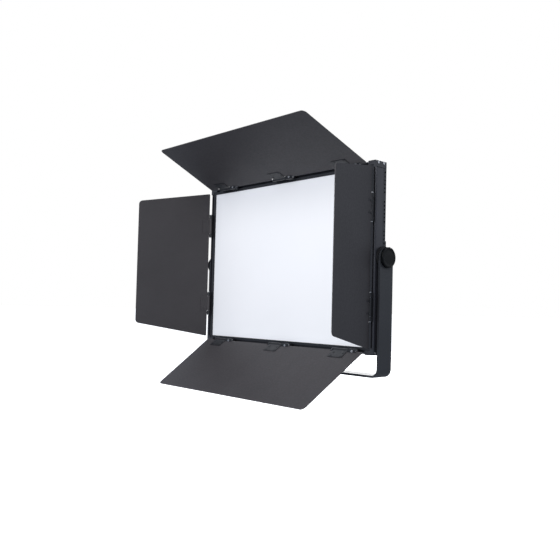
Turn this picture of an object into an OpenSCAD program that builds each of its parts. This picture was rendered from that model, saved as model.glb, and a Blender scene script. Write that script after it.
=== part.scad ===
// LED panel light with four barn doors, a yoke and a spigot receiver.
// X runs to the right as seen from the front, the front faces -Y and Z is up.
// The origin is the centre of the receiver's mouth, and all sizes are in millimetres.

/* [Head] */
// Width over the corner caps
head_w = 624; // [580:2:700]
// Height over the corner caps
head_h = 444; // [420:2:500]
// Depth from the front lip to the rear cover's back
head_d = 36; // [36:1:40]
// How far the corner caps stand proud of the rails
cap_proud = 1.5; // [1:0.5:2]
// Visible border at the left and right of the diffuser, from the head's edge
border_side = 20; // [16:1:24]
// Visible border above and below the diffuser, from the head's edge
border_long = 17; // [14:0.2:20]

/* [Yoke] */
// Width of the yoke strap
strap_w = 46; // [40:1:52]
// Thickness of the yoke strap
strap_t = 5.5; // [4:0.5:7]
// Clear gap between the corner caps and the yoke arms
arm_gap = 4; // [4:0.5:8]
// Tilt axis down to the underside of the yoke's bar
yoke_drop = 273; // [265:1:320]
// Outer radius of the yoke's two bends
bend_r = 20; // [16:1:30]
// Tilt axis behind the front lip
pivot_back = 29; // [28:0.5:30]

/* [Tilt knobs] */
// Diameter of a tilt knob
knob_d = 48.2; // [40:0.2:54]
// Thickness of a tilt knob
knob_h = 6; // [6:0.5:14]
// Diameter of the friction discs between the head and the yoke
disc_d = 52; // [40:1:54]
// Diameter of the knobs' studs
stud_d = 7.9; // [7.9:0.1:8]

/* [Spigot receiver] */
// Outer diameter of the receiver
receiver_d = 34; // [32:1:40]
// Length of the receiver below the yoke
receiver_len = 58; // [58:1:70]
// Diameter of the bore for a 16 mm spigot
spigot_bore = 16.2; // [16.1:0.05:16.4]
// Depth of the spigot bore
spigot_depth = 50; // [40:1:50]

/* [Barn doors] */
// Opening angle of the top leaf from straight ahead
top_open = 23.5; // [-90:0.5:120]
// Opening angle of the bottom leaf from straight ahead
bottom_open = 34; // [-90:0.5:95]
// Opening angle of the left leaf from straight ahead
left_open = 21.3; // [-90:0.1:95]
// Opening angle of the right leaf from straight ahead
right_open = 19.2; // [-90:0.1:95]
// Hinge axis to the outer edge of a leaf
leaf_reach = 210; // [180:1:210]
// Thickness of the leaf sheet
sheet_t = 1.5; // [1:0.25:1.5]
// Half-width of the long leaves at their hinge
long_leaf_root = 292; // [270:1:294]
// Half-width of the long leaves at their outer edge
long_leaf_tip = 277; // [200:1:290]
// Half-height of the side leaves at their hinge
side_leaf_root = 207.5; // [190:0.5:207.5]
// Half-height of the side leaves at their outer edge
side_leaf_tip = 171.5; // [150:0.5:200]

/* [Rear controls] */
// Width of the control housing
housing_w = 300; // [300:5:340]
// Height of the control housing
housing_h = 124; // [124:2:150]
// Depth of the control housing behind the rear cover
housing_d = 46; // [44:1:60]
// Diameter of the two control dials
dial_d = 26; // [20:1:30]
// Travel of a menu button
button_travel = 1.2; // [0.8:0.1:1.4]

/* [Hidden] */
$fn = 64;

// Small sizes used again and again
eps = 0.5;           // overlap of a cutter past the face it cuts
run_gap = 0.08;      // radial clearance of a turning stud, shaft or pin
seat_gap = 0.1;      // gap between faces that rub

// Heights and reaches that follow from the driving sizes
pivot_z = receiver_len + yoke_drop;
half_w = head_w / 2;
half_h = head_h / 2;
rail_x = half_w - cap_proud;
rail_z = half_h - cap_proud;
arm_in = half_w + arm_gap;
arm_out = arm_in + strap_t;
stud_r = stud_d / 2;

// Rail section, measured inward from the outer face and back from the front lip
rail_d = 26;
rail_wall = 2.2;
lip_w = 3.5;
groove_w = 5;
seat_w = 1.5;
floor_d = 8;
floor_t = 2;
rear_lip = 12;

// Stack of layers inside the head, as depths behind the front lip
bezel_at = 1.5;
bezel_t = 2;
diffuser_at = bezel_at + bezel_t;
diffuser_t = 2;
box_at = diffuser_at + diffuser_t;
sink_at = 20;
sink_t = 2;
fin_h = 10;
board_t = 1.6;
chip_t = 1;
cover_t = 1.2;

// Corner caps
cap_w = 26;
cap_h = 16;
cap_d = 29;
cap_r = 6;

// Leaf hinges
long_axis_front = 10;
side_axis_front = 6;
axis_inset = 8;
knuckle_r = 4;
pin_r = 2;
hinge_plate_t = 1.2;
base_t = 1.4;
base_w = 9;
long_root_gap = 3;
long_notch = 7.8;
side_root_gap = 4.4;
long_hinge_at = [-230, 0, 225];
side_hinge_at = [-113, 113];
long_knuckle = 44;
side_knuckle = 42;
long_ear = 5;
friction_block = 23;
side_ear = 11;
ear_gap = 0.5;
long_plate = 30;
side_plate = 24;
rivet_r = 2;

// Layout of the rear face of the control housing, as X and Z from its centre
wall_t = 2.2;
face_at = head_d + housing_d;
panel_t = 1.5;
panel_at = [40, 6];
panel_size = [184, 78];
display_at = [40, 22];
display_size = [60, 30];
dial_spots = [[105, 8], [-25, 8]];
button_spots = [[18, -14], [40, -14], [62, -14]];
button_r = 5;
inlet_at = [-110, 24];
rocker_at = [-110, -24];
port_spots = [[5, -47], [27, -47]];
housing_screw_spots = [for (x = [-138, 138], z = [-50, 50]) [x, z]];

// ---------------------------------------------------------------- helpers

// Head frame: Y is depth behind the front lip, X and Z start at the head's centre
module head_frame() {
    translate([0, -pivot_back, pivot_z]) children();
}

// Carries a piece drawn for the top edge to another edge of the head
module on_edge(side) {
    head_frame()
        if (side == "bottom") mirror([0, 0, 1]) children();
        else if (side == "right") rotate([0, 90, 0]) children();
        else if (side == "left") mirror([1, 0, 0]) rotate([0, 90, 0]) children();
        else children();
}

// Mirrors its children in X when asked, for a pair of left and right pieces
module flip_x(on) {
    if (on) mirror([1, 0, 0]) children();
    else children();
}

// Mirrors its children in Z when asked
module flip_z(on) {
    if (on) mirror([0, 0, 1]) children();
    else children();
}

// Repeats its children at all four corners of the head
module four_corners() {
    for (left = [false, true], low = [false, true])
        flip_x(left) flip_z(low) children();
}

// Box given by its lowest and highest corners
module span(low, high) {
    translate(low) cube(high - low);
}

// Cylinder along X from x1 to x2
module rod_x(r, x1, x2) {
    translate([x1, 0, 0]) rotate([0, 90, 0]) cylinder(r = r, h = x2 - x1);
}

// Cylinder along Y from y1 to y2
module rod_y(r, y1, y2) {
    translate([0, y2, 0]) rotate([90, 0, 0]) cylinder(r = r, h = y2 - y1);
}

// Flat rectangle with round corners, centred
module round_rect(w, h, r) {
    square([w - 2 * r, h], center = true);
    square([w, h - 2 * r], center = true);
    for (x = [-1, 1], y = [-1, 1])
        translate([x * (w / 2 - r), y * (h / 2 - r)]) circle(r = r);
}

// Plate with round corners in the XZ plane, from depth y1 to y2
module round_plate(w, h, r, y1, y2) {
    translate([0, y2, 0]) rotate([90, 0, 0]) linear_extrude(y2 - y1) round_rect(w, h, r);
}

// Outline helpers: a corner of a polygon replaced by an arc
function unit(v) = v / norm(v);
function turned(v, a) = [v.x * cos(a) - v.y * sin(a), v.x * sin(a) + v.y * cos(a)];
function arc_at(prev, corner, next, r, steps) =
    let (
        a = unit(prev - corner),
        b = unit(next - corner),
        half = acos(a * b) / 2,
        centre = corner + unit(a + b) * r / sin(half),
        first = corner + a * r / tan(half) - centre,
        way = sign(cross(first, corner + b * r / tan(half) - centre))
    )
    [for (i = [0:steps]) centre + turned(first, way * (180 - 2 * half) * i / steps)];
function arced(pts, radii, steps = 8) =
    [for (i = [0:len(pts) - 1])
        each arc_at(pts[(i + len(pts) - 1) % len(pts)], pts[i], pts[(i + 1) % len(pts)],
                    radii[i], steps)];

// Pan-head screw along Y: the head's underside is at y = 0 and the shank runs to -Y
module screw_y(head_r, head_h, shank_r, shank_len) {
    difference() {
        rod_y(head_r, 0, head_h);
        rod_y(head_r * 0.45, head_h * 0.5, head_h + eps);
    }
    rod_y(shank_r, -shank_len, 0);
}

// ---------------------------------------------------------------- yoke

// Flat U with bent corners, drawn in the XZ plane: outer half-width w, underside z0
module u_outline(w, r, z0) {
    top = pivot_z + strap_w;
    translate([-w, z0 + r]) square([2 * w, top - z0 - r]);
    translate([r - w, z0]) square([2 * (w - r), r]);
    for (side = [-1, 1])
        translate([side * (w - r), z0 + r]) circle(r = r);
}

module yoke_bracket() {
    color("#33363d")
    difference() {
        intersection() {
            translate([0, strap_w / 2, 0]) rotate([90, 0, 0]) linear_extrude(strap_w)
                difference() {
                    u_outline(arm_out, bend_r, receiver_len);
                    u_outline(arm_in, bend_r - strap_t, receiver_len + strap_t);
                }
            union() {
                span([-arm_out - eps, -strap_w, receiver_len - eps], [arm_out + eps, strap_w, pivot_z]);
                translate([0, 0, pivot_z]) rod_x(strap_w / 2, -arm_out - eps, arm_out + eps);
            }
        }
        translate([0, 0, pivot_z]) rod_x(stud_r + run_gap, -arm_out - 1, arm_out + 1);
        translate([0, 0, receiver_len - 1]) cylinder(r = 5.1, h = strap_t + 2);
    }
}

// Receiver for a 16 mm spigot, with a boss for its clamping screw
clamp_z = 25;
boss_end = 26;
pad_r = 5;
pad_y = 8.8;
pad_len = 4.2;
bolt_r = 4.97;
clamp_r = 3.95;
handle_y = 34;
handle_seat = 3.5;
module spigot_receiver() {
    color("#2b2d31")
    difference() {
        union() {
            cylinder(d = receiver_d, h = receiver_len);
            translate([0, 0, receiver_len - 8]) cylinder(d = receiver_d + 8, h = 8);
            translate([0, 0, clamp_z]) rod_y(9, 0, boss_end);
        }
        translate([0, 0, -eps]) cylinder(d = spigot_bore, h = spigot_depth + eps);
        translate([0, 0, spigot_depth - eps]) cylinder(r = bolt_r + 0.05, h = receiver_len);
        translate([0, 0, clamp_z]) rod_y(pad_r + 0.05, 2, 16);
        translate([0, 0, clamp_z]) rod_y(clamp_r + run_gap, 2, boss_end + eps);
    }
}

module receiver_bolt() {
    washer_top = receiver_len + strap_t + 2;
    color("#8b8d90")
    union() {
        translate([0, 0, spigot_depth + eps]) cylinder(r = bolt_r, h = washer_top - spigot_depth);
        translate([0, 0, receiver_len + strap_t]) cylinder(r = 10.5, h = 2);
        translate([0, 0, washer_top]) cylinder(r = 9.8, h = 6.5, $fn = 6);
    }
}

module clamp_pad() {
    color("#b8964a") translate([0, 0, clamp_z]) rod_y(pad_r, pad_y, pad_y + pad_len);
}

module clamp_stud() {
    color("#8b8d90") translate([0, 0, clamp_z])
        rod_y(clamp_r, pad_y + pad_len + 0.05, handle_y + handle_seat - 0.1);
}

// Hub with a cross bar that turns the clamping stud
module clamp_handle() {
    color("#202124")
    translate([0, 0, clamp_z])
    difference() {
        union() {
            rod_y(8, handle_y, handle_y + 14);
            translate([0, handle_y + 8, -24]) cylinder(r = 4, h = 48);
            for (end = [-24, 24]) translate([0, handle_y + 8, end]) sphere(r = 5.2);
        }
        rod_y(clamp_r + 0.05, handle_y - 1, handle_y + handle_seat);
    }
}

// ---------------------------------------------------------------- head frame

// Extruded rail section: first coordinate is depth, second is minus the distance inward
module rail_section() {
    intersection() {
        translate([lip_w, -lip_w]) circle(r = lip_w);
        translate([0, -lip_w]) square(lip_w);
    }
    translate([lip_w, -lip_w]) square([floor_d + floor_t - lip_w, lip_w]);
    translate([lip_w, -rail_wall]) square([rail_d - lip_w, rail_wall]);
    seat_in = lip_w + groove_w + seat_w;
    translate([floor_d, -seat_in]) square([floor_t, seat_in]);
    translate([diffuser_at, -seat_in]) square([floor_d + floor_t - diffuser_at, seat_w]);
    translate([rail_d - floor_t, -rear_lip]) square([floor_t, rear_lip]);
}

module rail(length, reach) {
    translate([-length / 2, 0, reach]) rotate([90, 0, 90]) linear_extrude(length) rail_section();
}

module long_rail(side) {
    color("#3a3c42") on_edge(side) rail(head_w - 2 * cap_w, rail_z);
}

// Side rail, notched behind for the cross rail's tab and drilled for the tilt stud
tab_half = 38;
module side_rail(side) {
    color("#3a3c42") on_edge(side)
    difference() {
        rail(head_h - 2 * cap_h, rail_x);
        span([-tab_half - 1, 22, rail_x - rear_lip - 1], [tab_half + 1, rail_d + 1, rail_x - rail_wall]);
        translate([0, pivot_back, rail_x - rear_lip]) cylinder(r = 5.5, h = rear_lip + 2);
    }
}

module top_rail() { long_rail("top"); }
module bottom_rail() { long_rail("bottom"); }
module left_rail() { side_rail("left"); }
module right_rail() { side_rail("right"); }

// Positions of the two screws on the side face of a cap, as depth
cap_screw_depths = [5, 24];
cap_screw_z = half_h - 6;

module corner_caps() {
    seat = lip_w + groove_w - 0.1;
    color("#2e3035") head_frame() four_corners()
    difference() {
        translate([0, cap_d, 0]) rotate([90, 0, 0]) linear_extrude(cap_d)
            difference() {
                union() {
                    translate([half_w - cap_w, half_h - cap_h]) square([cap_w - cap_r, cap_h]);
                    translate([half_w - cap_w, half_h - cap_h]) square([cap_w, cap_h - cap_r]);
                    translate([half_w - cap_r, half_h - cap_r]) circle(r = cap_r);
                }
                square([rail_x - seat, rail_z - seat]);
            }
        span([0, rail_d, 0], [rail_x + 0.1, cap_d + eps, rail_z + 0.1]);
        for (depth = cap_screw_depths)
            translate([0, depth, cap_screw_z]) rod_x(1.65, half_w - 7, half_w + 1);
    }
}

// Screws of the caps, and the screws that set the drag of the long hinges
module front_screws() {
    reach = long_knuckle / 2 + ear_gap + friction_block;
    color("#9a9ca0")
    union() {
        head_frame() four_corners()
            for (depth = cap_screw_depths)
                translate([half_w, depth, cap_screw_z]) rotate([0, 0, -90]) screw_y(3, 1.2, 1.6, 6.5);
        for (side = ["top", "bottom"]) on_edge(side)
            for (x = long_hinge_at)
                translate([x + reach - 10, -long_axis_front - 4.5, axis_height(half_h) + 1])
                    rotate([0, 0, 180]) screw_y(3, 1.3, 1.25, 1.6);
    }
}

module front_bezel() {
    seat = lip_w + groove_w;
    color("#37393f") head_frame()
    difference() {
        span([seat - rail_x, bezel_at, seat - rail_z], [rail_x - seat, diffuser_at, rail_z - seat]);
        span([border_side - half_w, 0, border_long - half_h],
             [half_w - border_side, diffuser_at + eps, half_h - border_long]);
    }
}

module diffuser_panel() {
    inset = lip_w + groove_w + seat_w + 0.2;
    color("#eef1f7") head_frame()
    span([inset - rail_x, diffuser_at, inset - rail_z], [rail_x - inset, box_at, rail_z - inset]);
}

// ---------------------------------------------------------------- inside the head

light_box_inset = rear_lip + 0.5;

// White walls between the diffuser and the light emitters
module light_box() {
    w = rail_x - light_box_inset;
    h = rail_z - light_box_inset;
    color("#f4f4f2") head_frame()
    difference() {
        span([-w, box_at, -h], [w, sink_at, h]);
        span([cover_t - w, box_at - eps, cover_t - h], [w - cover_t, sink_at + eps, h - cover_t]);
    }
}

board_count = 4;
board_pitch = 144;
board_half_h = rail_z - 22;
module led_boards() {
    color("#e9eae6") head_frame()
    for (i = [0:board_count - 1])
        translate([(i - (board_count - 1) / 2) * board_pitch, 0, 0])
            span([1 - board_pitch / 2, sink_at - board_t, -board_half_h],
                 [board_pitch / 2 - 1, sink_at, board_half_h]);
}

// Grid of emitters: warm and cool ones alternate like the squares of a chessboard
chip_columns = 12;
chip_rows = 8;
chip_pitch = 48;
chip_size = 5;
module led_grid(remainder) {
    head_frame()
    for (i = [0:chip_columns - 1], j = [0:chip_rows - 1])
        if ((i + j) % 2 == remainder)
            translate([(i - (chip_columns - 1) / 2) * chip_pitch,
                       sink_at - board_t - chip_t / 2,
                       (j - (chip_rows - 1) / 2) * chip_pitch])
                cube([chip_size, chip_t, chip_size], center = true);
}
module led_chips_warm() { color("#f2c14e") led_grid(0); }
module led_chips_cool() { color("#f3efb6") led_grid(1); }

// Base plate with upright fins behind it
fin_pitch = 12;
fin_t = 1.6;
fin_count = 46;
module heat_sink() {
    base_w = rail_x - light_box_inset - 1;
    base_h = rail_z - light_box_inset - 1;
    color("#a9abad") head_frame()
    union() {
        span([-base_w, sink_at, -base_h], [base_w, sink_at + sink_t, base_h]);
        for (i = [0:fin_count - 1])
            translate([(i - (fin_count - 1) / 2) * fin_pitch, 0, 0])
                span([-fin_t / 2, sink_at + sink_t - eps, 4 - base_h],
                     [fin_t / 2, sink_at + sink_t + fin_h, base_h - 4]);
    }
}

// ---------------------------------------------------------------- rear cover

// Vent holes along the sides come in groups
vent_r = 2.4;
vent_pitch = 9.1;
vent_group = 6;
group_pitch = 68;
group_first = 15;
vent_depth = head_d - 4.5;
slot_half = 12;
slot_pitch = 20;
module side_vents() {
    for (low = [false, true]) flip_z(low)
        for (g = [0:2], i = [0:vent_group - 1])
            translate([0, vent_depth, group_first + g * group_pitch + i * vent_pitch])
                rod_x(vent_r, -rail_x - 1, rail_x + 1);
}

// Upright slots in the back, above and below the control housing
module back_slots() {
    for (low = [false, true]) flip_z(low)
        for (i = [-slot_half:slot_half])
            translate([i * slot_pitch, 0, 0])
                span([-2, head_d - cover_t - 1, 100], [2, head_d + 1, 180]);
}

// Positions of the posts that the cover is screwed to
post_inset = 7.1;
post_spots = concat(
    [for (x = [-265, -140, 0, 140, 265], s = [-1, 1]) [x, s * (rail_z - post_inset)]],
    [for (z = [-180, -75, 75, 180], s = [-1, 1]) [s * (rail_x - post_inset), z]]
);

module rear_cover() {
    tab_x = rail_x - rail_wall - 0.2;
    color("#35373d") head_frame()
    difference() {
        span([-rail_x, rail_d, -rail_z], [rail_x, head_d, rail_z]);
        span([cover_t - rail_x, rail_d - 1, cover_t - rail_z],
             [rail_x - cover_t, head_d - cover_t, rail_z - cover_t]);
        side_vents();
        back_slots();
        translate([0, pivot_back, 0]) rod_x(5.5, -rail_x - 1, rail_x + 1);
        for (spot = post_spots)
            translate([spot.x, 0, spot.y]) rod_y(1.7, head_d - cover_t - 1, head_d + 1);
        for (left = [false, true]) flip_x(left)
            span([tab_x - 3.8, head_d - cover_t - 1, -tab_half - 0.5],
                 [tab_x + 0.4, head_d + 1, tab_half + 0.5]);
        span([-40, head_d - cover_t - 1, -20], [40, head_d + 1, 20]);
    }
}

module cover_standoffs() {
    color("#a9abad") head_frame()
    for (spot = post_spots) translate([spot.x, 0, spot.y])
        difference() {
            rod_y(3.4, rail_d, head_d - cover_t);
            rod_y(1.55, rail_d + 2, head_d);
        }
}

// Screws of the rear cover and of the control housing
module rear_screws() {
    color("#1b1c1f") head_frame()
    union() {
        for (spot = post_spots)
            translate([spot.x, head_d, spot.y]) screw_y(3.2, 1.6, 1.5, 7);
        for (spot = housing_screw_spots)
            translate([spot.x, face_at, spot.y]) screw_y(3.2, 1.6, 1.5, 20);
    }
}

// Low channel across the back that carries the tilt load, with a tab at each end
module cross_rail() {
    tab_x = rail_x - rail_wall - 0.2;
    channel_half = 39;
    color("#303238") head_frame()
    for (left = [false, true]) flip_x(left)
        difference() {
            union() {
                span([housing_w / 2 + 1, head_d + 3, -channel_half], [rail_x - 1.5, head_d + 5, channel_half]);
                for (low = [false, true]) flip_z(low)
                    span([housing_w / 2 + 1, head_d, channel_half - 2],
                         [rail_x - 1.5, head_d + 5, channel_half]);
                span([tab_x - 3.4, 16, -tab_half], [tab_x, head_d + 4, tab_half]);
            }
            translate([0, pivot_back, 0]) rod_x(4.6, tab_x - 10, rail_x);
        }
}

module pivot_nuts() {
    nut_out = rail_x - rail_wall - 3.6;
    color("#b9bbbe") head_frame()
    for (left = [false, true]) flip_x(left)
        translate([0, pivot_back, 0])
            difference() {
                rod_x(5.6, nut_out - 11, nut_out);
                rod_x(stud_r + run_gap, nut_out - 12, nut_out + 1);
            }
}

// ---------------------------------------------------------------- rear controls

// Moves its children from the head's centre to a spot on the rear face
module at(spot) {
    translate([spot.x, 0, spot.y]) children();
}

module control_housing() {
    color("#2c2e33") head_frame()
    difference() {
        round_plate(housing_w, housing_h, 10, head_d, face_at);
        round_plate(housing_w - 2 * wall_t, housing_h - 2 * wall_t, 8, head_d - 1, face_at - wall_t);
        at(display_at) span([-28, face_at - 5, -13], [28, face_at + 1, 13]);
        for (spot = dial_spots) at(spot) rod_y(3.6, face_at - 5, face_at + 1);
        for (spot = button_spots) at(spot) rod_y(button_r + 0.3, face_at - 5, face_at + 1);
        at(inlet_at) span([-14, face_at - 5, -10.2], [14, face_at + 1, 10.2]);
        at(rocker_at) span([-9.2, face_at - 5, -13.2], [9.2, face_at + 1, 13.2]);
        for (spot = port_spots) at(spot) span([-8.7, face_at - 5, -7.4], [8.7, face_at + 1, 7.4]);
        for (spot = housing_screw_spots) at(spot) rod_y(1.7, face_at - 5, face_at + 1);
        for (i = [-6:6])
            translate([i * 14, 0, 0])
                span([-3, head_d + 14, -housing_h], [3, head_d + 32, housing_h]);
    }
}

module control_panel() {
    color("#18191c") head_frame()
    difference() {
        at(panel_at) round_plate(panel_size.x, panel_size.y, 5, face_at, face_at + panel_t);
        at(display_at)
            span([-display_size.x / 2, face_at - 1, -display_size.y / 2],
                 [display_size.x / 2, face_at + 3, display_size.y / 2]);
        for (spot = dial_spots) at(spot) rod_y(3.6, face_at - 1, face_at + 3);
        for (spot = button_spots) at(spot) rod_y(button_r + 0.3, face_at - 1, face_at + 3);
    }
}

module display_window() {
    color("#0d1116") head_frame() at(display_at)
    span([0.2 - display_size.x / 2, face_at + 0.1, 0.2 - display_size.y / 2],
         [display_size.x / 2 - 0.2, face_at + panel_t, display_size.y / 2 - 0.2]);
}

module display_module() {
    color("#1f5f4a") head_frame() at(display_at)
    union() {
        span([-31, face_at - 9, -17], [31, face_at - 7.4, 17]);
        span([-27, face_at - 7.5, -12], [27, face_at - 0.3, 12]);
    }
}

// Push button with a collar that keeps it behind the housing's wall
module push_button(index) {
    collar_at = face_at - wall_t - 0.4;
    color("#3b3e45") head_frame() at(button_spots[index])
    union() {
        rod_y(button_r, collar_at - eps, face_at + panel_t + 2.2);
        rod_y(button_r + 1.3, collar_at - 1.2, collar_at);
    }
}
module menu_button() { push_button(0); }
module set_button() { push_button(1); }
module mode_button() { push_button(2); }

// Fluted dial on its encoder shaft
shaft_r = 3;
dial_h = 14;
flute_count = 18;
module dial(index) {
    base = face_at + panel_t + 0.5;
    color("#131416") head_frame() at(dial_spots[index])
    union() {
        difference() {
            union() {
                rod_y(dial_d / 2, base, base + dial_h - 2);
                rod_y(dial_d / 2 - 2, base, base + dial_h);
            }
            for (i = [0:flute_count - 1])
                rotate([0, i * 360 / flute_count, 0])
                    translate([dial_d / 2 + 0.6, 0, 0]) rod_y(1.3, base + 3, base + dial_h);
        }
        rod_y(shaft_r, face_at - 11, base + 1);
    }
}
module intensity_dial() { dial(0); }
module colour_dial() { dial(1); }

module encoder_bodies() {
    color("#8f9499") head_frame()
    for (spot = dial_spots) at(spot)
        difference() {
            span([-7, face_at - 10, -7], [7, face_at - wall_t - 0.1, 7]);
            rod_y(shaft_r + run_gap, face_at - 12, face_at);
        }
}

// Frame of the mains switch and its rocking paddle
rocker_depth = 3;
rocker_half = 9.4;
rocker_rest = 8;
rocker_pin_r = 1.2;
module rocker_frame() {
    color("#17181a") head_frame() at(rocker_at)
    difference() {
        union() {
            span([-11, face_at, -15], [11, face_at + 2, 15]);
            span([-9, face_at - 13, -13], [9, face_at + 1, 13]);
        }
        span([-7, face_at - 11, -10.8], [7, face_at + 3, 10.8]);
        translate([0, face_at, 0]) rod_x(rocker_pin_r + run_gap, -8.4, 8.4);
    }
}

module power_rocker() {
    color("#0c0c0d") head_frame() at(rocker_at)
    translate([0, face_at, 0]) rotate([rocker_rest, 0, 0])
    union() {
        span([-6.6, -rocker_depth, -rocker_half], [6.6, rocker_depth, rocker_half]);
        rod_x(rocker_pin_r, -8.2, 8.2);
    }
}

// Mains inlet with three blades in its socket
module power_inlet() {
    color("#101113") head_frame() at(inlet_at)
    union() {
        difference() {
            union() {
                span([-15.5, face_at, -12], [15.5, face_at + 2.2, 12]);
                span([-13.8, face_at - 19, -10], [13.8, face_at + 1, 10]);
            }
            span([-12.2, face_at - 16, -8.2], [12.2, face_at + 4, 8.2]);
        }
        for (blade = [[-7, -2], [7, -2], [0, 3]])
            at(blade) span([-1, face_at - 17, -2], [1, face_at - 5.5, 2]);
    }
}

module data_ports() {
    color("#1d1f22") head_frame()
    for (spot = port_spots) at(spot)
        difference() {
            union() {
                span([-9.5, face_at, -8.2], [9.5, face_at + 1.2, 8.2]);
                span([-8.5, face_at - 18, -7.2], [8.5, face_at + 1, 7.2]);
            }
            span([-6, face_at - 14, -4.2], [6, face_at + 3, 4.2]);
        }
}

module power_supply() {
    color("#b4b6b8") head_frame()
    difference() {
        span([-80, head_d + 2, -46], [130, head_d + 22, 46]);
        span([-78, head_d + 4, -44], [128, head_d + 24, 44]);
        for (i = [-3:3]) translate([25 + i * 24, 0, 0]) span([-2, head_d + 8, -60], [2, head_d + 18, 60]);
    }
}

// Driver board with its capacitors, coils and connectors
module driver_board() {
    board_at = head_d + 25;
    color("#1d6b46") head_frame()
    union() {
        span([-70, board_at, -48], [130, board_at + board_t, 38]);
        for (i = [0:3]) translate([-50 + i * 16, 0, 26]) rod_y(5, board_at + 1, board_at + 8);
        for (x = [70, 95]) span([x, board_at + 1, -36], [x + 16, board_at + 7, -20]);
        span([-66, board_at + 1, 4], [-56, board_at + 7, 18]);
    }
}

// ---------------------------------------------------------------- tilt joint

module friction_disc(left) {
    color("#121315") flip_x(left) translate([0, 0, pivot_z])
    difference() {
        rod_x(disc_d / 2, rail_x, arm_in - seat_gap);
        rod_x(stud_r + 0.3, rail_x - 1, arm_in + 1);
    }
}
module left_friction_disc() { friction_disc(true); }
module right_friction_disc() { friction_disc(false); }

washer_t = 1.5;
module thrust_washer(left) {
    from = arm_out + seat_gap;
    color("#9ea0a3") flip_x(left) translate([0, 0, pivot_z])
    difference() {
        rod_x(14, from, from + washer_t);
        rod_x(stud_r + run_gap, from - 1, from + washer_t + 1);
    }
}
module left_thrust_washer() { thrust_washer(true); }
module right_thrust_washer() { thrust_washer(false); }

// Low round knob with a soft rim, a shallow face recess and a seat for its stud
knob_edge = 3.5;
stud_len = 28;
stud_seat = 3.5;
knob_at = arm_out + seat_gap + washer_t + 0.05;
module tilt_knob(left) {
    r = knob_d / 2;
    color("#0f1013") flip_x(left) translate([knob_at, 0, pivot_z]) rotate([0, 90, 0])
    difference() {
        rotate_extrude() union() {
            square([r - knob_edge, knob_h]);
            square([r, knob_h - knob_edge]);
            translate([r - knob_edge, knob_h - knob_edge]) circle(r = knob_edge);
        }
        translate([0, 0, knob_h - 0.5]) cylinder(r = r - 6.5, h = 2);
        translate([0, 0, -1]) cylinder(r = stud_r + 0.05, h = stud_seat + 1);
    }
}
module left_tilt_knob() { tilt_knob(true); }
module right_tilt_knob() { tilt_knob(false); }

// Stud that is fixed in the knob and screws into the nut behind the rail
module tilt_stud(left) {
    color("#9ea0a3") flip_x(left) translate([0, 0, pivot_z])
        rod_x(stud_r, knob_at - stud_len, knob_at + stud_seat - 0.1);
}
module left_tilt_stud() { tilt_stud(true); }
module right_tilt_stud() { tilt_stud(false); }

// ---------------------------------------------------------------- barn doors

// Distance of a hinge axis from the head's centre, for an edge at half the head's size
function axis_height(half) = half - axis_inset;

// One fixed bracket: a base plate and two ears; the ear on +X is a block on a long hinge
module hinge_bracket(x, half, front, knuckle, ear_low, ear_high, block) {
    axis_z = axis_height(half);
    low = x - knuckle / 2 - ear_gap - ear_low;
    high = x + knuckle / 2 + ear_gap + ear_high;
    edges = [[low, low + ear_low], [high - ear_high, high]];
    difference() {
        union() {
            span([low, -base_t, half - cap_proud - base_w], [high, 0, half - cap_proud - 0.5]);
            for (e = edges) {
                span([e[0], -front, axis_z - 3.5], [e[1], 0, axis_z + 3.5]);
                translate([0, -front, axis_z]) rod_x(knuckle_r, e[0], e[1]);
            }
            if (block)
                span([edges[1][0], -front - 4.5, axis_z - 4.5], [high, 0, axis_z + 4.4]);
        }
        translate([0, -front, axis_z]) rod_x(pin_r + 0.02, low - 1, high + 1);
        if (block)
            translate([high - 10, 0, axis_z + 1]) rod_y(1.3, -front - 6, -front - 2.5);
    }
}

module long_hinge_brackets() {
    color("#24262b")
    for (side = ["top", "bottom"]) on_edge(side)
        for (x = long_hinge_at)
            hinge_bracket(x, half_h, long_axis_front, long_knuckle, long_ear, friction_block, true);
}

module side_hinge_brackets() {
    color("#24262b")
    for (side = ["left", "right"]) on_edge(side)
        for (x = side_hinge_at)
            hinge_bracket(x, half_w, side_axis_front, side_knuckle, side_ear, side_ear, false);
}

// Pin with a bright head at each end
module hinge_pin(low, high) {
    rod_x(pin_r, low, high);
    rod_x(3.3, low - 1.5, low);
    rod_x(3.3, high, high + 1.5);
}

module long_hinge_pins() {
    reach = long_knuckle / 2 + ear_gap;
    color("#b6b8bb")
    for (side = ["top", "bottom"]) on_edge(side)
        for (x = long_hinge_at)
            translate([x, -long_axis_front, axis_height(half_h)])
                hinge_pin(-reach - long_ear, reach + friction_block);
}

module side_hinge_pins() {
    reach = side_knuckle / 2 + ear_gap + side_ear;
    color("#b6b8bb")
    for (side = ["left", "right"]) on_edge(side)
        for (x = side_hinge_at)
            translate([x, -side_axis_front, axis_height(half_w)]) hinge_pin(-reach, reach);
}

// Carries a piece drawn straight ahead of a hinge axis to its edge and opening angle
module swung(side, half, front, open) {
    on_edge(side) translate([0, -front, axis_height(half)]) rotate([-open, 0, 0]) children();
}

// Positions of the rivets of one hinge plate, as X and distance from the axis
function rivet_spots(at_list, knuckle, root, plate) =
    [for (x = at_list, dx = [-1, 1], s = [root + 5, plate - 5])
        [x + dx * (knuckle / 2 - 7), s]];

long_rivets = rivet_spots(long_hinge_at, long_knuckle, long_notch, long_plate);
side_rivets = rivet_spots(side_hinge_at, side_knuckle, side_root_gap, side_plate);

// Notches that let a long leaf's inner edge pass its brackets, as low and high X
notch_gap = 2.2;
long_notches = [
    for (x = long_hinge_at)
        [x - long_knuckle / 2 - ear_gap - long_ear - notch_gap,
         x + long_knuckle / 2 + ear_gap + friction_block + notch_gap]
];

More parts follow.
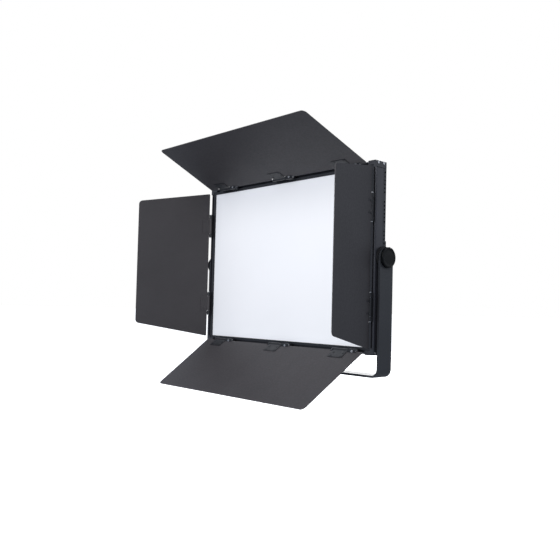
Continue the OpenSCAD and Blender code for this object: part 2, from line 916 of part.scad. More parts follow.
// Sheet of a leaf: the inner edge is root from the axis, the outer edge is leaf_reach
module leaf_sheet(root_half, tip_half, root, rivets, notches) {
    corners = [[-root_half, -root], [root_half, -root],
               [tip_half, -leaf_reach], [-tip_half, -leaf_reach]];
    translate([0, 0, -sheet_t / 2])
        linear_extrude(sheet_t)
            difference() {
                polygon(arced(corners, [3, 3, 11, 11]));
                for (spot = rivets) translate([spot.x, -spot.y]) circle(r = rivet_r + 0.02);
                for (notch = notches)
                    translate([notch[0], -long_notch]) square([notch[1] - notch[0], long_notch]);
            }
}

// Moving hinge plates with their knuckles and rivets, on the inner face of a leaf
module hinge_plates(at_list, knuckle, plate, rivets) {
    inner = -sheet_t / 2 - hinge_plate_t;
    difference() {
        union() {
            for (x = at_list) {
                translate([x, 0, 0]) rod_x(knuckle_r, -knuckle / 2, knuckle / 2);
                span([x - knuckle / 2, -plate, inner], [x + knuckle / 2, 0, -sheet_t / 2]);
            }
            for (spot = rivets) translate([spot.x, -spot.y, 0]) {
                translate([0, 0, inner - 0.7]) cylinder(r = 3, h = 0.8);
                translate([0, 0, inner]) cylinder(r = rivet_r, h = sheet_t + hinge_plate_t + 0.3);
                translate([0, 0, sheet_t / 2]) cylinder(r = 3, h = 0.7);
            }
        }
        for (x = at_list)
            translate([x, 0, 0]) rod_x(pin_r + run_gap, -knuckle, knuckle);
    }
}

module long_leaf(side, open) {
    color("#46464c") swung(side, half_h, long_axis_front, open)
        leaf_sheet(long_leaf_root, long_leaf_tip, long_root_gap, long_rivets, long_notches);
}
module side_leaf(side, open) {
    color("#46464c") swung(side, half_w, side_axis_front, open)
        leaf_sheet(side_leaf_root, side_leaf_tip, side_root_gap, side_rivets, []);
}
module long_leaf_hinges(side, open) {
    color("#2a2c31") swung(side, half_h, long_axis_front, open)
        hinge_plates(long_hinge_at, long_knuckle, long_plate, long_rivets);
}
module side_leaf_hinges(side, open) {
    color("#2a2c31") swung(side, half_w, side_axis_front, open)
        hinge_plates(side_hinge_at, side_knuckle, side_plate, side_rivets);
}

module top_leaf() { long_leaf("top", top_open); }
module bottom_leaf() { long_leaf("bottom", bottom_open); }
module left_leaf() { side_leaf("left", left_open); }
module right_leaf() { side_leaf("right", right_open); }
module top_leaf_hinges() { long_leaf_hinges("top", top_open); }
module bottom_leaf_hinges() { long_leaf_hinges("bottom", bottom_open); }
module left_leaf_hinges() { side_leaf_hinges("left", left_open); }
module right_leaf_hinges() { side_leaf_hinges("right", right_open); }

yoke_bracket();
spigot_receiver();
receiver_bolt();
clamp_pad();
clamp_stud();
clamp_handle();
top_rail();
bottom_rail();
left_rail();
right_rail();
corner_caps();
front_screws();
front_bezel();
diffuser_panel();
light_box();
led_boards();
led_chips_warm();
led_chips_cool();
heat_sink();
rear_cover();
cover_standoffs();
rear_screws();
cross_rail();
pivot_nuts();
control_housing();
control_panel();
display_module();
display_window();
menu_button();
set_button();
mode_button();
intensity_dial();
colour_dial();
encoder_bodies();
power_rocker();
rocker_frame();
power_inlet();
data_ports();
power_supply();
driver_board();
left_friction_disc();
right_friction_disc();
left_thrust_washer();
right_thrust_washer();
left_tilt_knob();
right_tilt_knob();
left_tilt_stud();
right_tilt_stud();
long_hinge_brackets();
side_hinge_brackets();
long_hinge_pins();
side_hinge_pins();
top_leaf();
bottom_leaf();
left_leaf();
right_leaf();
top_leaf_hinges();
bottom_leaf_hinges();
left_leaf_hinges();
right_leaf_hinges();
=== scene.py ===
"""LED panel light with barn doors: its looks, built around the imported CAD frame.

All lengths are in metres, in the row frame: X right as seen from the front, -Y to the front, Z up.
"""
import math

import bmesh
import bpy
from mathutils import Matrix, Vector


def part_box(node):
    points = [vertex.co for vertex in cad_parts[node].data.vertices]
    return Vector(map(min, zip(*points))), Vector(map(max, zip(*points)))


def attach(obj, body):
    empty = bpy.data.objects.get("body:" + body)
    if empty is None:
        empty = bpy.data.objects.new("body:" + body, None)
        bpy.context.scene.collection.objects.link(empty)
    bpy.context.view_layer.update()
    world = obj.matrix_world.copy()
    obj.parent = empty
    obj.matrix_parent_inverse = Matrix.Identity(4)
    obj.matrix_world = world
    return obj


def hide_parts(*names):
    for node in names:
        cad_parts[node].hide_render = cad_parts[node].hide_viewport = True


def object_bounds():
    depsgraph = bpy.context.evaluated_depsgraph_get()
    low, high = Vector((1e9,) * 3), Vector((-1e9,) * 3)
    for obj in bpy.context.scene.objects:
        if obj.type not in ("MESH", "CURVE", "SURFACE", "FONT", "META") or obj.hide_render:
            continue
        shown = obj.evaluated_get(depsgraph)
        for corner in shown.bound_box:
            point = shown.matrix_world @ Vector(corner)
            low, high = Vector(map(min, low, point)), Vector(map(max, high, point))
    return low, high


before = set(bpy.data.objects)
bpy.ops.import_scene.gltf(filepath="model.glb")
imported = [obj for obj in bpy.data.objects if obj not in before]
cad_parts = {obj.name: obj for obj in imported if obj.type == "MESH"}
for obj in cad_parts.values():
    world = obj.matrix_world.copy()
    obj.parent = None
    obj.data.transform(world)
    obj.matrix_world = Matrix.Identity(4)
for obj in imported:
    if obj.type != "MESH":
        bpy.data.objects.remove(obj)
cad_low, cad_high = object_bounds()
MM = 0.001
WHITE = (1.0, 1.0, 1.0)

# ---------------------------------------------------------------- camera

# Where the photographer stood, and how the camera was turned
CAMERA_AT = Vector((1.2731, -1.1988, 0.2147))
CAMERA_YAW = math.radians(47.51)
CAMERA_PITCH = math.radians(2.252)
CAMERA_ROLL = math.radians(1.427)
CAMERA_LENS = 42.87
SENSOR = 36.0


def make_camera():
    data = bpy.data.cameras.new("camera")
    data.lens = CAMERA_LENS
    data.sensor_width = SENSOR
    data.clip_start = 0.05
    data.clip_end = 50.0
    camera = bpy.data.objects.new("camera", data)
    bpy.context.scene.collection.objects.link(camera)
    ahead = Vector((-math.sin(CAMERA_YAW) * math.cos(CAMERA_PITCH),
                    math.cos(CAMERA_YAW) * math.cos(CAMERA_PITCH),
                    math.sin(CAMERA_PITCH)))
    level = Vector((math.cos(CAMERA_YAW), math.sin(CAMERA_YAW), 0.0))
    up = level.cross(ahead)
    right = math.cos(CAMERA_ROLL) * level + math.sin(CAMERA_ROLL) * up
    up = math.cos(CAMERA_ROLL) * up - math.sin(CAMERA_ROLL) * level
    turn = Matrix((right, up, -ahead)).transposed()
    camera.matrix_world = Matrix.Translation(CAMERA_AT) @ turn.to_4x4()
    bpy.context.scene.camera = camera


make_camera()

# ---------------------------------------------------------------- material helpers


class Surface:
    """A new material and short ways to add texture nodes to it."""

    def __init__(self, name, colour, roughness, metallic=0.0):
        self.material = bpy.data.materials.new(name)
        self.material.use_nodes = True
        self.nodes = self.material.node_tree.nodes
        self.links = self.material.node_tree.links
        self.shader = self.nodes["Principled BSDF"]
        self.colour = colour
        self.set("Base Color", (*colour, 1.0))
        self.set("Roughness", roughness)
        self.set("Metallic", metallic)

    def set(self, socket, value):
        self.shader.inputs[socket].default_value = value

    def point(self, stretch=(1.0, 1.0, 1.0)):
        """Object coordinates, stretched along each axis."""
        source = self.nodes.new("ShaderNodeTexCoord")
        mapping = self.nodes.new("ShaderNodeMapping")
        mapping.inputs["Scale"].default_value = stretch
        self.links.new(source.outputs["Object"], mapping.inputs["Vector"])
        return mapping.outputs["Vector"]

    def noise(self, scale, detail=3.0, stretch=(1.0, 1.0, 1.0)):
        node = self.nodes.new("ShaderNodeTexNoise")
        node.inputs["Scale"].default_value = scale
        node.inputs["Detail"].default_value = detail
        self.links.new(self.point(stretch), node.inputs["Vector"])
        return node.outputs["Fac"]

    def cells(self, scale):
        node = self.nodes.new("ShaderNodeTexVoronoi")
        node.inputs["Scale"].default_value = scale
        self.links.new(self.point(), node.inputs["Vector"])
        return node.outputs["Distance"]

    def ramp(self, value, stops):
        """Maps a value to colours: stops are (place, (r, g, b))."""
        node = self.nodes.new("ShaderNodeValToRGB")
        elements = node.color_ramp.elements
        while len(elements) < len(stops):
            elements.new(0.5)
        for element, (place, colour) in zip(elements, stops):
            element.position = place
            element.color = (*colour, 1.0)
        self.links.new(value, node.inputs["Fac"])
        return node.outputs["Color"]

    def spread(self, value, low, high, start=0.3, end=0.7):
        """Maps a value between start and end to a number between low and high."""
        node = self.nodes.new("ShaderNodeMapRange")
        node.inputs["From Min"].default_value = start
        node.inputs["From Max"].default_value = end
        node.inputs["To Min"].default_value = low
        node.inputs["To Max"].default_value = high
        self.links.new(value, node.inputs["Value"])
        return node.outputs["Result"]

    def product(self, first, second):
        node = self.nodes.new("ShaderNodeMix")
        node.data_type = "RGBA"
        node.blend_type = "MULTIPLY"
        node.inputs["Factor"].default_value = 1.0
        self.links.new(first, node.inputs["A"])
        self.links.new(second, node.inputs["B"])
        return node.outputs["Result"]

    def vary_colour(self, value, darker, lighter):
        """Base colour that drifts between darker and lighter shares of the main colour."""
        low = tuple(c * darker for c in self.colour)
        high = tuple(min(1.0, c * lighter) for c in self.colour)
        self.links.new(self.ramp(value, [(0.3, low), (0.7, high)]), self.shader.inputs["Base Color"])

    def vary_roughness(self, value, low, high):
        self.links.new(self.spread(value, low, high), self.shader.inputs["Roughness"])

    def bump(self, heights):
        """Stacks bumps: heights are (value, distance in metres, strength)."""
        normal = None
        for value, distance, strength in heights:
            node = self.nodes.new("ShaderNodeBump")
            node.inputs["Distance"].default_value = distance
            node.inputs["Strength"].default_value = strength
            self.links.new(value, node.inputs["Height"])
            if normal is not None:
                self.links.new(normal, node.inputs["Normal"])
            normal = node.outputs["Normal"]
        self.links.new(normal, self.shader.inputs["Normal"])


def powder_coat(name, colour, roughness=0.5):
    """Baked powder paint on metal: a fine orange peel with small specks and slow tone drift."""
    surface = Surface(name, colour, roughness)
    surface.set("Specular IOR Level", 0.4)
    peel = surface.noise(900.0, 2.0)
    speck = surface.cells(1500.0)
    drift = surface.noise(9.0, 4.0)
    surface.vary_colour(drift, 0.93, 1.08)
    surface.vary_roughness(surface.noise(240.0, 3.0), roughness - 0.06, roughness + 0.07)
    surface.bump([(peel, 0.12 * MM, 0.35), (speck, 0.05 * MM, 0.25)])
    return surface.material


def anodised(name, colour, along, roughness=0.4):
    """Anodised extrusion with faint drawing lines along one axis."""
    surface = Surface(name, colour, roughness, metallic=0.35)
    stretch = [900.0, 900.0, 900.0]
    stretch["XYZ".index(along)] = 6.0
    lines = surface.noise(1.0, 3.0, stretch)
    surface.vary_colour(surface.noise(14.0, 3.0), 0.94, 1.07)
    surface.vary_roughness(lines, roughness - 0.05, roughness + 0.06)
    surface.bump([(lines, 0.02 * MM, 0.35)])
    return surface.material


def moulded(name, colour, roughness=0.5, grain=1800.0, depth=0.06, shine=0.45):
    """Moulded plastic with a spark-eroded grain."""
    surface = Surface(name, colour, roughness)
    surface.set("Specular IOR Level", shine)
    surface.vary_colour(surface.noise(30.0, 3.0), 0.92, 1.1)
    surface.vary_roughness(surface.noise(400.0, 2.0), roughness - 0.05, roughness + 0.05)
    surface.bump([(surface.cells(grain), depth * MM, 0.4)])
    return surface.material


def metal(name, colour, roughness=0.3, stretch=(1.0, 1.0, 1.0)):
    """Bare or plated metal with fine handling marks."""
    surface = Surface(name, colour, roughness, metallic=1.0)
    marks = surface.noise(700.0, 4.0, stretch)
    surface.vary_colour(surface.noise(80.0, 2.0), 0.9, 1.05)
    surface.vary_roughness(marks, roughness - 0.08, roughness + 0.1)
    surface.bump([(marks, 0.02 * MM, 0.3)])
    return surface.material


def glossy(name, colour, roughness=0.12):
    """Smooth hard plastic or acrylic with faint smears."""
    surface = Surface(name, colour, roughness)
    surface.set("Coat Weight", 0.3)
    smear = surface.noise(25.0, 5.0, (1.0, 1.0, 3.0))
    surface.vary_colour(smear, 0.85, 1.15)
    surface.vary_roughness(smear, roughness, roughness + 0.12)
    surface.bump([(surface.noise(300.0, 1.0), 0.01 * MM, 0.2)])
    return surface.material


def opal_diffuser():
    """Opal sheet: white and satin, with painted shade in its base colour: a little darker along its left
    and right edges and towards the bottom.
    """
    low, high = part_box("diffuser_panel")
    surface = Surface("opal_diffuser", (0.86, 0.885, 0.93), 0.42)
    surface.set("Specular IOR Level", 0.3)
    surface.set("Emission Color", (0.93, 0.96, 1.0, 1.0))
    surface.set("Emission Strength", 0.10)
    split = surface.nodes.new("ShaderNodeSeparateXYZ")
    surface.links.new(surface.point(), split.inputs["Vector"])
    across = surface.spread(split.outputs["X"], 0.0, 1.0, low.x, high.x)
    upward = surface.spread(split.outputs["Z"], 0.0, 1.0, low.z, high.z)
    # Painted shade: the base colour darkens towards the left and right edges and towards the bottom of the
    # sheet
    painted_side_shade = surface.ramp(across, [
        (0.0, (0.88, 0.89, 0.90)), (0.06, (0.96, 0.965, 0.97)), (0.2, WHITE),
        (0.97, WHITE), (1.0, (0.95, 0.955, 0.96))])
    painted_bottom_shade = surface.ramp(upward, [
        (0.0, (0.86, 0.87, 0.88)), (0.05, (0.94, 0.945, 0.95)), (0.3, (0.96, 0.96, 0.96)),
        (0.8, WHITE), (1.0, WHITE)])
    sheet = surface.ramp(surface.noise(7.0, 2.0), [(0.3, (0.845, 0.85, 0.87)), (0.7, (0.86, 0.865, 0.885))])
    shaded = surface.product(surface.product(painted_side_shade, painted_bottom_shade), sheet)
    surface.links.new(shaded, surface.shader.inputs["Base Color"])
    surface.bump([(surface.noise(1600.0, 2.0), 0.03 * MM, 0.25)])
    return surface.material


def circuit_board():
    """Green board with faint tracks under the solder mask."""
    surface = Surface("circuit_board", (0.02, 0.16, 0.08), 0.35)
    tracks = surface.noise(260.0, 1.0, (1.0, 1.0, 0.2))
    surface.links.new(surface.ramp(tracks, [(0.45, (0.015, 0.12, 0.06)), (0.5, (0.03, 0.22, 0.11))]),
                      surface.shader.inputs["Base Color"])
    surface.bump([(tracks, 0.03 * MM, 0.4)])
    return surface.material


# ---------------------------------------------------------------- materials of the CAD nodes

YOKE = powder_coat("yoke_powder_coat", (0.029, 0.031, 0.036), 0.46)
LEAF = powder_coat("leaf_powder_coat", (0.043, 0.040, 0.043), 0.52)
COVER = powder_coat("cover_powder_coat", (0.024, 0.026, 0.032), 0.5)
HINGE = powder_coat("hinge_black", (0.014, 0.015, 0.018), 0.38)
RECEIVER = powder_coat("receiver_black", (0.016, 0.017, 0.020), 0.4)
RAIL_X = anodised("anodised_along_x", (0.036, 0.037, 0.045), "X")
RAIL_Z = anodised("anodised_along_z", (0.036, 0.037, 0.045), "Z")
BEZEL = anodised("bezel_anodised", (0.016, 0.017, 0.021), "X", 0.45)
CAP = moulded("cap_plastic", (0.024, 0.025, 0.030), 0.45)
KNOB = moulded("knob_plastic", (0.002, 0.0028, 0.0035), 0.4, 2600.0, 0.03, 0.16)
FRICTION = moulded("friction_plastic", (0.004, 0.004, 0.005), 0.6)
HOUSING = moulded("housing_plastic", (0.018, 0.019, 0.022), 0.5, 1200.0, 0.08)
DIAL = moulded("dial_plastic", (0.008, 0.008, 0.010), 0.42)
BUTTON = moulded("button_plastic", (0.045, 0.048, 0.056), 0.45)
SOCKET = moulded("socket_plastic", (0.008, 0.008, 0.009), 0.4)
HANDLE = moulded("handle_black", (0.012, 0.012, 0.014), 0.5)
PANEL = glossy("panel_gloss", (0.006, 0.006, 0.007))
WINDOW = glossy("display_glass", (0.004, 0.006, 0.010), 0.06)
MARK = moulded("pad_print_white", (0.62, 0.63, 0.64), 0.55)
SCREEN = moulded("screen_glow", (0.10, 0.42, 0.60), 0.4)
ZINC = metal("zinc_plate", (0.46, 0.47, 0.49), 0.36)
NICKEL = metal("bright_nickel", (0.60, 0.61, 0.63), 0.26)
BRASS = metal("turned_brass", (0.78, 0.58, 0.28), 0.3)
GOLD = metal("contact_gold", (0.95, 0.72, 0.30), 0.25)
ALUMINIUM = metal("mill_aluminium", (0.62, 0.63, 0.64), 0.38, (1.0, 1.0, 0.1))
BLACK_OXIDE = metal("black_oxide", (0.035, 0.035, 0.04), 0.36)
BOARD_WHITE = moulded("board_white", (0.80, 0.80, 0.77), 0.4)
WALL_WHITE = powder_coat("reflector_white", (0.85, 0.85, 0.83), 0.6)
CHIP_WARM = glossy("emitter_warm", (0.85, 0.50, 0.10))
CHIP_COOL = glossy("emitter_cool", (0.88, 0.82, 0.38))
OPAL = opal_diffuser()
BOARD = circuit_board()

# Each CAD node: its material, and the rounding of its edges in millimetres
LOOKS = {
    "yoke_bracket": (YOKE, 0.7), "spigot_receiver": (RECEIVER, 0.6), "receiver_bolt": (ZINC, 0.4),
    "clamp_pad": (BRASS, 0.2), "clamp_stud": (ZINC, 0), "clamp_handle": (HANDLE, 0.5),
    "top_rail": (RAIL_X, 0.3), "bottom_rail": (RAIL_X, 0.3),
    "left_rail": (RAIL_Z, 0.3), "right_rail": (RAIL_Z, 0.3),
    "corner_caps": (CAP, 0.9), "front_screws": (ZINC, 0.25), "front_bezel": (BEZEL, 0.3),
    "diffuser_panel": (OPAL, 0), "light_box": (WALL_WHITE, 0), "led_boards": (BOARD_WHITE, 0),
    "led_chips_warm": (CHIP_WARM, 0), "led_chips_cool": (CHIP_COOL, 0), "heat_sink": (ALUMINIUM, 0),
    "rear_cover": (COVER, 0.25), "cover_standoffs": (ALUMINIUM, 0), "rear_screws": (BLACK_OXIDE, 0.2),
    "cross_rail": (COVER, 0.4), "pivot_nuts": (ZINC, 0), "control_housing": (HOUSING, 0.8),
    "control_panel": (PANEL, 0.3), "display_module": (BOARD, 0), "display_window": (WINDOW, 0.2),
    "menu_button": (BUTTON, 0.5), "set_button": (BUTTON, 0.5), "mode_button": (BUTTON, 0.5),
    "intensity_dial": (DIAL, 0.35), "colour_dial": (DIAL, 0.35), "encoder_bodies": (ALUMINIUM, 0),
    "power_rocker": (SOCKET, 0.5), "rocker_frame": (SOCKET, 0.4), "power_inlet": (SOCKET, 0.4),
    "data_ports": (SOCKET, 0.3), "power_supply": (ALUMINIUM, 0), "driver_board": (BOARD, 0),
    "left_tilt_stud": (ZINC, 0), "right_tilt_stud": (ZINC, 0),
    "left_friction_disc": (FRICTION, 0.6), "right_friction_disc": (FRICTION, 0.6),
    "left_thrust_washer": (ZINC, 0.2), "right_thrust_washer": (ZINC, 0.2),
    "left_tilt_knob": (KNOB, 0), "right_tilt_knob": (KNOB, 0),
    "long_hinge_brackets": (HINGE, 0.4), "side_hinge_brackets": (HINGE, 0.4),
    "long_hinge_pins": (NICKEL, 0.3), "side_hinge_pins": (NICKEL, 0.3),
    "top_leaf": (LEAF, 0.35), "bottom_leaf": (LEAF, 0.35), "left_leaf": (LEAF, 0.35),
    "right_leaf": (LEAF, 0.35), "top_leaf_hinges": (HINGE, 0.25), "bottom_leaf_hinges": (HINGE, 0.25),
    "left_leaf_hinges": (LEAF, 0.25), "right_leaf_hinges": (HINGE, 0.25),
}

# Points this close are joined, faces this flat are joined, and edges sharper than this are rounded
WELD_WITHIN = 0.005 * MM
FLAT_WITHIN = math.radians(0.4)
SHARP_FROM = math.radians(35.0)


def round_edges(piece, width):
    """Soft edges that catch the light, with flat faces kept flat."""
    weld = piece.modifiers.new("weld", "WELD")
    weld.merge_threshold = WELD_WITHIN
    flat = piece.modifiers.new("flat", "DECIMATE")
    flat.decimate_type = "DISSOLVE"
    flat.angle_limit = FLAT_WITHIN
    bevel = piece.modifiers.new("edges", "BEVEL")
    bevel.width = width * MM
    bevel.segments = 2
    bevel.limit_method = "ANGLE"
    bevel.angle_limit = SHARP_FROM
    normals = piece.modifiers.new("normals", "WEIGHTED_NORMAL")
    normals.keep_sharp = True
    normals.weight = 100


for name, (material, width) in LOOKS.items():
    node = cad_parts[name]
    node.data.materials.clear()
    node.data.materials.append(material)
    if width > 0:
        round_edges(node, width)

# ---------------------------------------------------------------- detail pieces

# Rounding of a small bar's edges, as a share of its thinnest side
BAR_ROUNDING = 0.45


def new_piece(name, bm, material, body):
    """Turns a finished bmesh into a smooth piece that rides on a body."""
    mesh = bpy.data.meshes.new(name)
    bm.to_mesh(mesh)
    bm.free()
    for face in mesh.polygons:
        face.use_smooth = True
    mesh.materials.append(material)
    piece = bpy.data.objects.new(name, mesh)
    bpy.context.scene.collection.objects.link(piece)
    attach(piece, body)
    return piece


def add_bar(bm, centre, size, turn):
    """Adds a bar with round edges, turned about the Y axis through its centre."""
    place = Matrix.Translation(centre) @ Matrix.Rotation(turn, 4, "Y")
    made = bmesh.ops.create_cube(bm, size=1.0, matrix=place @ Matrix.Diagonal((*size, 1.0)))
    edges = {edge for vert in made["verts"] for edge in vert.link_edges}
    bmesh.ops.bevel(bm, geom=list(edges), offset=min(size) * BAR_ROUNDING, segments=2,
                    profile=0.5, affect="EDGES", clamp_overlap=True)


def bars(name, body, material, placed):
    """One piece made of many small bars, each (centre, size, turn)."""
    bm = bmesh.new()
    for centre, size, turn in placed:
        add_bar(bm, centre, size, turn)
    return new_piece(name, bm, material, body)


# Tilt knob: a ribbed rim between two roundings, then a small step down to a crowned face
KNOB_BORE = 4.1 * MM
FOOT_GAP = 0.15 * MM
FOOT_ROUND = 0.9 * MM
RIM_ROUND = 2.6 * MM
FACE_INSET = 7.2 * MM
FACE_DROP = 0.6 * MM
CROWN = 0.25 * MM
RIBS = 60
RIB_DEPTH = 0.28 * MM
RING_STEPS = 180


def knob_profile(radius, height):
    """Half section of a tilt knob: (distance from the axis, height, share of the rim's ribs)."""
    section = [(KNOB_BORE, FOOT_GAP, 0.0), (radius - FOOT_ROUND - 0.7 * MM, FOOT_GAP, 0.0)]
    for step in range(5):
        angle = math.radians(-90.0 + 22.5 * step)
        section.append((radius - FOOT_ROUND + FOOT_ROUND * math.cos(angle),
                        FOOT_GAP + FOOT_ROUND + FOOT_ROUND * math.sin(angle), 0.25 * step))
    for step in range(9):
        angle = math.radians(11.25 * step)
        section.append((radius - RIM_ROUND + RIM_ROUND * math.cos(angle),
                        height - RIM_ROUND + RIM_ROUND * math.sin(angle), max(0.0, 1.0 - 0.2 * step)))
    for inset, drop in ((5.6, 0.0), (6.1, 0.15), (6.4, 0.5)):
        section.append((radius - inset * MM, height - drop * MM, 0.0))
    for step in range(7):
        share = 1.0 - step / 7
        section.append(((radius - FACE_INSET) * share,
                        height - FACE_DROP + CROWN * (1.0 - share * share), 0.0))
    return section


def tilt_knob(side, sign):
    """Low round knob: fine ribs round the rim, a step and a softly crowned face."""
    name = side + "_tilt_knob"
    low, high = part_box(name)
    radius = (high.z - low.z) / 2
    height = high.x - low.x
    base = low.x if sign > 0 else high.x
    axis_y = (low.y + high.y) / 2
    axis_z = (low.z + high.z) / 2
    bm = bmesh.new()
    rings = []
    for distance, rise, share in knob_profile(radius, height):
        ring = []
        for step in range(RING_STEPS):
            angle = 2 * math.pi * step / RING_STEPS
            reach = distance - share * RIB_DEPTH * (0.5 - 0.5 * math.cos(RIBS * angle))
            ring.append(bm.verts.new((base + sign * rise, axis_y + reach * math.cos(angle),
                                      axis_z + reach * math.sin(angle))))
        rings.append(ring)
    for first, second in zip(rings, rings[1:]):
        for step in range(RING_STEPS):
            after = (step + 1) % RING_STEPS
            bm.faces.new((first[step], first[after], second[after], second[step]))
    bm.faces.new(rings[-1])
    bmesh.ops.recalc_face_normals(bm, faces=bm.faces)
    piece = new_piece(side + "_knob_body", bm, KNOB, name)
    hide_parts(name)


tilt_knob("left", -1)
tilt_knob("right", 1)

sheet_low, sheet_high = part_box("diffuser_panel")
HEAD_Z = (sheet_low.z + sheet_high.z) / 2


def rear_face(name):
    """Y of a node's rear face."""
    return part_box(name)[1].y


def rear_spot(name):
    """Centre of a node on the back: its (X, Z) from the head's centre, in millimetres."""
    low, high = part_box(name)
    x = (low.x + high.x) / 2
    z = (low.z + high.z) / 2 - HEAD_Z
    return round(x / MM, 1), round(z / MM, 1)


def on_face(level, x, z, proud):
    """A point proud of a rear-facing level; x, z and proud are in millimetres."""
    return Vector((x * MM, level + proud * MM, HEAD_Z + z * MM))


# The control panel's rear face, and the radius of a dial's ring of ticks in millimetres
PANEL_FACE = rear_face("control_panel")
TICK_RING = 15.0


def dial_marks(name):
    """Eleven ticks round a dial, and the pointer on its cap."""
    spot = rear_spot(name)
    ticks = []
    for index in range(11):
        angle = math.radians(-135.0 + 27.0 * index)
        length = 2.8 if index % 5 == 0 else 1.8
        reach = TICK_RING + length / 2
        x = spot[0] - reach * math.sin(angle)
        z = spot[1] + reach * math.cos(angle)
        place = on_face(PANEL_FACE, x, z, 0.02)
        ticks.append((place, (0.45 * MM, 0.2 * MM, length * MM), -angle))
    bars(name + "_ticks", "head", MARK, ticks)
    pointer = (on_face(rear_face(name), spot[0], spot[1] + 6.5, 0.02), (0.9 * MM, 0.3 * MM, 7.0 * MM), 0.0)
    bars(name + "_pointer", name, MARK, [pointer])


for dial in ("intensity_dial", "colour_dial"):
    dial_marks(dial)

# Plain level bars on the display, growing from one side, with a scale under them
display_x, display_z = rear_spot("display_window")
bar_start = display_x + 22.0
levels = []
for row, filled in ((6.0, 30.0), (-1.0, 18.0)):
    place = on_face(PANEL_FACE, bar_start - filled / 2, display_z + row, 0.01)
    levels.append((place, (filled * MM, 0.1 * MM, 3.2 * MM), 0.0))
for index in range(9):
    place = on_face(PANEL_FACE, bar_start - index * 5.5, display_z - 8.0, 0.01)
    length = 2.6 if index % 4 == 0 else 1.6
    levels.append((place, (0.6 * MM, 0.1 * MM, length * MM), 0.0))
bars("display_levels", "head", SCREEN, levels)

# Raised marks on the buttons, each (X, Z, width): three lines, one line, two dots
button_marks = {
    "menu_button": [(0.0, 1.5, 4.0), (0.0, 0.0, 4.0), (0.0, -1.5, 4.0)],
    "set_button": [(0.0, 0.0, 3.2)],
    "mode_button": [(-1.3, 0.0, 0.9), (1.3, 0.0, 0.9)],
}
for button, marks in button_marks.items():
    face = rear_face(button)
    spot = rear_spot(button)
    bars(button + "_mark", button, MARK,
         [(on_face(face, spot[0] + x, spot[1] + z, 0.02), (width * MM, 0.16 * MM, 0.6 * MM), 0.0)
          for x, z, width in marks])

# Plated sleeves over the inlet's three blades
inlet_x, inlet_z = rear_spot("power_inlet")
blade_end = rear_face("power_inlet") - 7.6 * MM
bars("inlet_blades", "head", NICKEL,
     [(on_face(blade_end, inlet_x + x, inlet_z + z, -5.6), (2.16 * MM, 11.6 * MM, 4.16 * MM), 0.0)
      for x, z in ((-7.0, -2.0), (7.0, -2.0), (0.0, 3.0))])

# Eight spring contacts in each data port, with the pitches in millimetres
PORT_PITCH = 22.0
CONTACT_PITCH = 1.02
ports_x, ports_z = rear_spot("data_ports")
port_end = rear_face("data_ports")
contacts = []
for port_side in (-0.5, 0.5):
    for index in range(8):
        x = ports_x + port_side * PORT_PITCH + (index - 3.5) * CONTACT_PITCH
        contacts.append((on_face(port_end, x, ports_z + 3.6, -9.0), (0.4 * MM, 10.0 * MM, 0.5 * MM), 0.0))
bars("port_contacts", "head", GOLD, contacts)

# ---------------------------------------------------------------- stage and light

FLOOR_DROP = 0.10
FLOOR_REACH = 30.0
LIGHT_AIM = Vector((0.0, 0.0, 0.33))


def make_floor():
    """A wide white floor that lights nothing and shows in no reflection."""
    mesh = bpy.data.meshes.new("floor")
    height = cad_low.z - FLOOR_DROP
    corners = [(x * FLOOR_REACH, y * FLOOR_REACH, height) for x, y in ((-1, -1), (1, -1), (1, 1), (-1, 1))]
    mesh.from_pydata(corners, [], [(0, 1, 2, 3)])
    floor = bpy.data.objects.new("floor", mesh)
    bpy.context.scene.collection.objects.link(floor)
    surface = Surface("pale_floor", (0.93, 0.93, 0.93), 0.85)
    surface.vary_colour(surface.noise(3.0, 2.0), 0.995, 1.0)
    surface.set("Specular IOR Level", 0.0)
    surface.set("Emission Color", (*WHITE, 1.0))
    surface.set("Emission Strength", 0.8)
    mesh.materials.append(surface.material)
    floor.visible_diffuse = False
    floor.visible_glossy = False


def soft_light(name, at, size, power, colour):
    """A round soft box aimed at the middle of the object."""
    data = bpy.data.lights.new(name, "AREA")
    data.shape = "DISK"
    data.size = size
    data.energy = power
    data.color = colour
    lamp = bpy.data.objects.new(name, data)
    bpy.context.scene.collection.objects.link(lamp)
    lamp.location = at
    lamp.rotation_euler = (LIGHT_AIM - Vector(at)).to_track_quat("-Z", "Y").to_euler()
    lamp.visible_camera = False


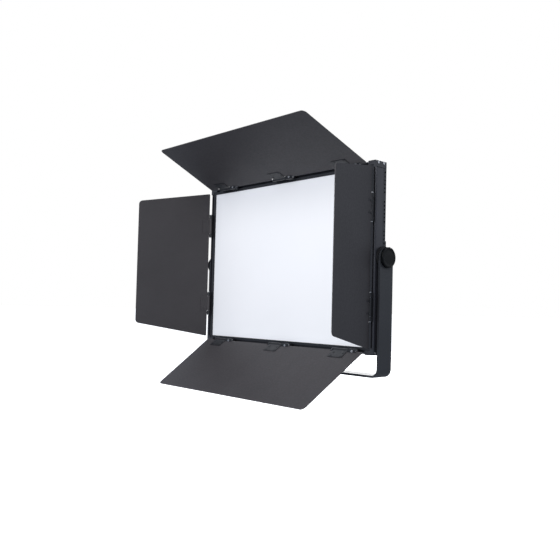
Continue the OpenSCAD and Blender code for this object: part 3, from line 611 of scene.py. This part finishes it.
# What the studio's walls give off from below, from level and from above, and how much of it
# comes from the front and from behind
SKY_BELOW = (0.50, 0.54, 0.62)
SKY_LEVEL = (0.36, 0.40, 0.47)
SKY_ABOVE = (0.72, 0.76, 0.84)
FRONT_SHARE = 1.25
BACK_SHARE = 0.6


def make_world():
    """White studio: seen white, and lighting the object from above more than from level."""
    world = bpy.data.worlds.new("studio")
    world.use_nodes = True
    nodes = world.node_tree.nodes
    links = world.node_tree.links
    background = nodes["Background"]
    direction = nodes.new("ShaderNodeTexCoord")
    split = nodes.new("ShaderNodeSeparateXYZ")
    links.new(direction.outputs["Generated"], split.inputs["Vector"])
    height = nodes.new("ShaderNodeMapRange")
    height.inputs["From Min"].default_value = -1.0
    links.new(split.outputs["Z"], height.inputs["Value"])
    ramp = nodes.new("ShaderNodeValToRGB")
    stops = ramp.color_ramp.elements
    stops[0].color = (*SKY_BELOW, 1.0)
    stops[1].color = (*SKY_ABOVE, 1.0)
    stops.new(0.5).color = (*SKY_LEVEL, 1.0)
    links.new(height.outputs["Result"], ramp.inputs["Fac"])
    front = nodes.new("ShaderNodeMapRange")
    front.inputs["From Min"].default_value = -1.0
    front.inputs["To Min"].default_value = FRONT_SHARE
    front.inputs["To Max"].default_value = BACK_SHARE
    links.new(split.outputs["Y"], front.inputs["Value"])
    shade = nodes.new("ShaderNodeVectorMath")
    shade.operation = "SCALE"
    links.new(ramp.outputs["Color"], shade.inputs["Vector"])
    links.new(front.outputs["Result"], shade.inputs["Scale"])
    seen = nodes.new("ShaderNodeLightPath")
    mix = nodes.new("ShaderNodeMix")
    mix.data_type = "RGBA"
    links.new(seen.outputs["Is Camera Ray"], mix.inputs["Factor"])
    links.new(shade.outputs["Vector"], mix.inputs["A"])
    mix.inputs["B"].default_value = (*WHITE, 1.0)
    links.new(mix.outputs["Result"], background.inputs["Color"])
    bpy.context.scene.world = world


bpy.context.scene.view_settings.view_transform = "Standard"
make_floor()
make_world()
soft_light("key", (0.8, -2.4, 1.5), 2.2, 56.0, (1.0, 0.975, 0.95))
soft_light("back", (1.9, 1.8, 1.2), 1.6, 6.0, (0.95, 0.97, 1.0))
soft_light("rear", (-1.5, 2.4, 1.5), 1.8, 60.0, WHITE)
